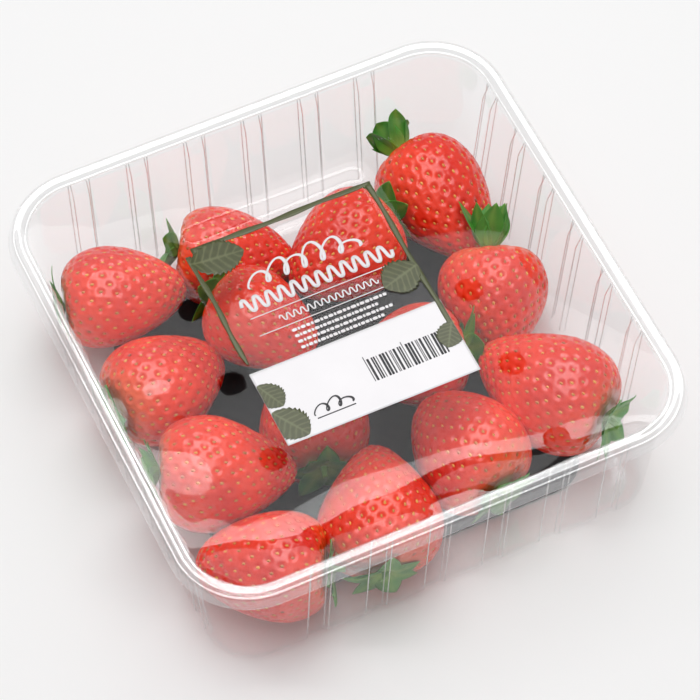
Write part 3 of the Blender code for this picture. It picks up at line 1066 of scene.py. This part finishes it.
def seed_parts(polar, round_angle, berry, habit, sink, chance):
    """All seeds of one berry: small tear-shaped ellipsoids, long towards the tip, sunk in their pits."""
    centre = berry_surface(polar, round_angle, berry, habit)
    out = surface_normal(polar, round_angle, berry, habit)
    ahead = berry_surface(polar - 0.01, round_angle, berry, habit) - centre
    ahead /= np.linalg.norm(ahead, axis=1, keepdims=True)
    side = np.cross(out, ahead)
    rings, around = 3, 6
    angle = np.linspace(0, math.pi, rings + 2)[:, None]
    turn_angle = (math.tau * np.arange(around) / around)[None]
    body_long = np.cos(angle) + 0 * turn_angle
    wide = np.sin(angle) * (1 - 0.25 * np.cos(angle)) * np.cos(turn_angle)
    high = np.sin(angle) * np.sin(turn_angle)
    unit = np.stack([body_long, wide, high], axis=-1)
    unit = np.vstack([unit[0, :1], unit[1:-1].reshape(-1, 3), unit[-1, :1]])
    size = chance.uniform(0.85, 1.15, len(polar))[:, None, None]
    local = unit[None] * np.array(SEED_HALF) * size
    axes = np.stack([ahead, side, out], axis=1)
    points = (centre - out * sink)[:, None] + local @ axes
    quads, triangles = tube_faces(rings, around, turned=True)
    number = unit.shape[0]
    offset = np.arange(len(polar))[:, None, None] * number
    shade = np.repeat(np.clip(chance.normal(0.25, 0.25, len(polar)), 0, 1), number)
    quads, triangles = (quads[None] + offset).reshape(-1, 4), (triangles[None] + offset).reshape(-1, 3)
    return points.reshape(-1, 3), quads, triangles, {"shade": shade}


def blade(berry, habit, round_angle, stand, length, width, chance):
    """One sepal as a closed flat tube: it leaves the crown, follows or leaves the shoulder and points.

    Its rings are flat ovals on a path in the plane through the berry's axis; the path's slope turns
    evenly from start to end. The blade is cupped, with a crease along its vein.
    """
    rings, around = 16, 12
    share = np.linspace(0, 1, rings)
    start_slope = math.radians(22 + 45 * stand)
    end_slope = math.radians(-12 + 95 * stand + chance.uniform(-18, 18))
    slope = start_slope + (end_slope - start_slope) * share**0.9
    step = length / (rings - 1)
    outward = 1.2 + np.concatenate([[0], np.cumsum(np.cos(slope[:-1]) * step)])
    upward = 0.4 + np.concatenate([[0], np.cumsum(np.sin(slope[:-1]) * step)])
    half = 0.5 * width * (np.sin(math.pi * (0.10 + 0.90 * share) ** 0.80) ** 0.85)
    half = np.maximum(half, 0.12)
    angle = math.tau * np.arange(around) / around
    flat = np.cos(angle)[None] * half[:, None]
    thick = 0.16 * np.sin(angle)[None] * np.ones((rings, 1))
    cup = 0.07 * flat**2 / np.maximum(half[:, None], 0.5) * (1 - 2.2 * share[:, None])
    crease = 0.16 * np.exp(-((flat / 0.6) ** 2))
    rise = thick + cup - crease
    sway = chance.uniform(-0.25, 0.25) * length * share[:, None] ** 2
    radial = outward[:, None] - np.sin(slope)[:, None] * rise
    up = upward[:, None] + np.cos(slope)[:, None] * rise
    across = flat + sway
    crown = pole(berry, habit, math.pi - 1e-3)[0]
    y = radial * math.cos(round_angle) - across * math.sin(round_angle)
    z = radial * math.sin(round_angle) + across * math.cos(round_angle)
    x = crown[0] - up
    body = np.stack([x, y + crown[1], z + crown[2]], axis=-1)
    vein = np.clip(1.1 * (1 - 2.6 * share[:, None]), 0, 1) + 0.45 * np.exp(-((flat / 0.35) ** 2))
    vein = np.clip(vein, 0, 1).ravel()
    values = {"vein": np.concatenate([[1], vein, [0]])}
    return closed_tube(body), *tube_faces(rings, around, turned=True), values


def stalk(berry, habit, length, chance):
    """A short cut stalk: a round tube that leans a little, from the crown away from the berry."""
    rings, around = 8, 10
    share = np.linspace(0, 1, rings)[:, None]
    angle = (math.tau * np.arange(around) / around)[None]
    lean = chance.uniform(-0.35, 0.35, 2)
    crown = pole(berry, habit, math.pi - 1e-3)[0]
    radius = 0.95 + 0.5 * (1 - share) ** 3
    x = crown[0] + 0.5 - (length + 0.5) * share + 0 * angle
    y = crown[1] + radius * np.cos(angle) + lean[0] * length * share**2
    z = crown[2] + radius * np.sin(angle) + lean[1] * length * share**2
    points = closed_tube(np.stack([x, y, z], axis=-1))
    return points, *tube_faces(rings, around, turned=True), {"vein": np.full(len(points), 0.45)}


class PUNNET_OT_crowns(bpy.types.Operator):
    """Make every berry's crown of sepals and its short stalk."""

    bl_idname = "punnet.make_crowns"
    bl_label = "Make the crowns"

    def execute(self, context):
        sizes, colours = context.scene.punnet_sizes, context.scene.punnet_colours
        parts = []
        for number, berry in enumerate(BERRIES):
            habit = berry_habit(number)
            chance = np.random.default_rng(900 + number)
            count = int(chance.integers(6, 9))
            growth = 1.0 + 0.3 * smooth_step(2 * SEPAL_STAND[number] - 0.7)
            for sepal in range(count):
                angle = math.tau * (sepal + chance.uniform(-0.2, 0.2)) / count
                stand = np.clip(SEPAL_STAND[number] + chance.uniform(-0.12, 0.12), 0, 1)
                length = growth * sizes.sepal_length * chance.uniform(0.78, 1.05)
                width = growth * sizes.sepal_width * chance.uniform(0.85, 1.15)
                parts.append(placed(berry, blade(berry, habit, angle, stand, length, width, chance)))
            parts.append(placed(berry, stalk(berry, habit, chance.uniform(3, 7), chance)))
        finish_piece(put_mesh("berry_crowns", *join_parts(parts)), leaf_material(colours), "berries")
        return {"FINISHED"}


# ---------------------------------------------------------------- stage


def panel_lamp(name, elevation, spread, width, brightness):
    """A white panel that faces the punnet, opposite the camera: its middle stands at an elevation and it
    spans a spread, in degrees; its width is in metres. Past 90 degrees it hangs on the camera's side.

    Its power is its brightness times pi times its area.
    """
    turn, rise = math.radians(LAMP_TURN), math.radians(elevation)
    back = Vector((math.sin(turn) * math.cos(rise), math.cos(turn) * math.cos(rise), math.sin(rise)))
    side = Vector((math.cos(turn), -math.sin(turn), 0.0))
    height = 2 * LAMP_DISTANCE * math.tan(math.radians(0.5 * spread))
    lamp = bpy.data.lights.new(name, "AREA")
    lamp.shape = "RECTANGLE"
    lamp.size, lamp.size_y = width, height
    lamp.energy = brightness * math.pi * width * height
    lamp.color = (1.0, 1.0, 1.0)
    item = bpy.data.objects.new(name, lamp)
    place = Matrix.Translation(Vector(LAMP_TARGET) + LAMP_DISTANCE * back)
    item.matrix_world = place @ Matrix((side, back.cross(side), back)).transposed().to_4x4()
    bpy.context.scene.collection.objects.link(item)


class PUNNET_OT_stage(bpy.types.Operator):
    """Make the white floor, the soft lamps, the even surroundings and the camera."""

    bl_idname = "punnet.make_stage"
    bl_label = "Make the stage"

    def execute(self, context):
        scene = context.scene
        bpy.ops.mesh.primitive_plane_add(size=8.0)
        floor = context.object
        floor.name = "studio_floor"
        floor.data.materials.append(floor_material())
        panel_lamp("panel_back", 59.8, 10.6, 1.3, 2.4)
        panel_lamp("panel_strip", 67.3, 4.4, 1.3, 9.0)
        panel_lamp("panel_top", 95.0, 47.0, 0.95, 2.8)
        world = bpy.data.worlds.new("studio_surround")
        scene.world = world
        world.use_nodes = True
        surround = world.node_tree.nodes["Background"]
        surround.inputs["Color"].default_value = (1.0, 1.0, 1.0, 1.0)
        surround.inputs["Strength"].default_value = 0.34
        azimuth, elevation = math.radians(CAMERA_AZIMUTH), math.radians(CAMERA_ELEVATION)
        away = Vector((
            math.sin(azimuth) * math.cos(elevation),
            -math.cos(azimuth) * math.cos(elevation),
            math.sin(elevation),
        ))
        target = Vector((*CAMERA_TARGET, TRAY_TOP * 0.001))
        camera = bpy.data.cameras.new("view")
        camera.sensor_width = 36.0
        camera.lens = CAMERA_LENS
        camera.clip_start = 0.05
        item = bpy.data.objects.new("view", camera)
        item.location = target + CAMERA_DISTANCE * away
        item.rotation_euler = away.to_track_quat("Z", "Y").to_euler()
        scene.collection.objects.link(item)
        scene.camera = item
        scene.view_settings.view_transform = "Standard"
        scene.cycles.transparent_max_bounces = 32
        return {"FINISHED"}


# ---------------------------------------------------------------- panel and registration


STEPS = (
    PUNNET_OT_tray, PUNNET_OT_pad, PUNNET_OT_berries, PUNNET_OT_crowns,
    PUNNET_OT_film, PUNNET_OT_label, PUNNET_OT_stage,
)


class PUNNET_PT_panel(bpy.types.Panel):
    """Lists the punnet's pieces in the order in which they are made."""

    bl_label = "Punnet"
    bl_idname = "PUNNET_PT_panel"
    bl_space_type = "VIEW_3D"
    bl_region_type = "UI"
    bl_category = "Punnet"

    def draw(self, context):
        for step in STEPS:
            self.layout.operator(step.bl_idname)


CLASSES = (PunnetSizes, PunnetColours, *STEPS, PUNNET_PT_panel)


def register():
    """Register the classes and hang the settings on the scene."""
    for item in CLASSES:
        bpy.utils.register_class(item)
    bpy.types.Scene.punnet_sizes = PointerProperty(type=PunnetSizes)
    bpy.types.Scene.punnet_colours = PointerProperty(type=PunnetColours)


def unregister():
    """Take the settings and the classes away again."""
    del bpy.types.Scene.punnet_colours
    del bpy.types.Scene.punnet_sizes
    for item in reversed(CLASSES):
        bpy.utils.unregister_class(item)


def main():
    """Make every piece in order."""
    register()
    for step in STEPS:
        group, name = step.bl_idname.split(".")
        getattr(getattr(bpy.ops, group), name)()


if __name__ == "__main__":
    main()
